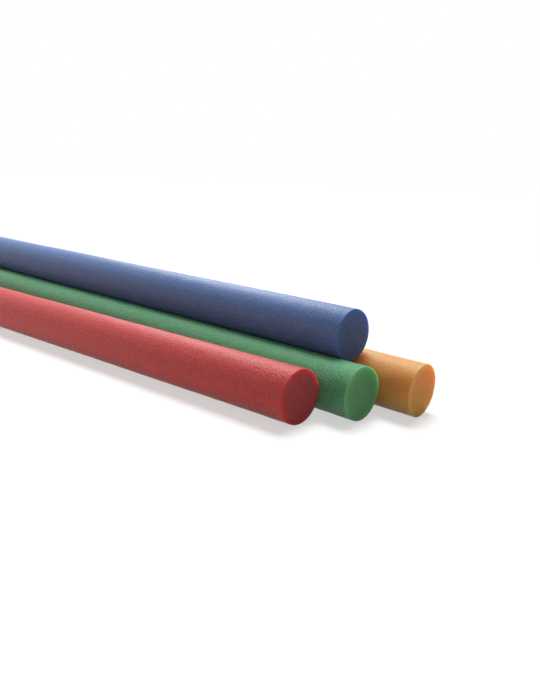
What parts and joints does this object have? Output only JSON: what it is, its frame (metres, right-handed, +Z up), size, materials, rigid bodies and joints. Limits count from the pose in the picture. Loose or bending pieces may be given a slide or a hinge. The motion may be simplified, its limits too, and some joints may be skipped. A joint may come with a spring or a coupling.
{
  "type": "pile of pool noodles",
  "caption": "Solid-core round foam pool noodles in a pile: red, green and yellow side by side on the floor, with blue on top in the valley between green and yellow.",
  "frame": {"origin": "on the floor, under the middle of the pile's box", "axes": "+X along the green noodle towards the near ends, +Y from the red noodle to the yellow one, +Z up from the floor"},
  "size_m": [1.2995, 0.2596, 0.118],
  "materials": {
    "red_foam": "matt closed-cell foam with a fine extruded skin and open cells on the sawn ends",
    "green_foam": "matt closed-cell foam with a fine extruded skin and open cells on the sawn ends",
    "yellow_foam": "matt closed-cell foam with a fine extruded skin and open cells on the sawn ends",
    "blue_foam": "matt closed-cell foam with a fine extruded skin and open cells on the sawn ends"
  },
  "bodies": {
    "green": {"green_noodle": "green_foam"},
    "red": {"red_noodle": "red_foam"},
    "yellow": {"yellow_noodle": "yellow_foam"},
    "blue": {"blue_noodle": "blue_foam"}
  },
  "joints": [
    {"name": "blue_lift", "type": "slide", "parent": "green", "child": "blue", "axis": [0, 0, 1], "range_m": [0, 0.15]},
    {"name": "red_aside", "type": "slide", "parent": "green", "child": "red", "axis": [0.0541, -0.9985, 0], "range_m": [0, 0.15]},
    {"name": "yellow_draw", "type": "slide", "parent": "green", "child": "yellow", "axis": [1, 0, 0], "range_m": [0, 0.45]}
  ]
}
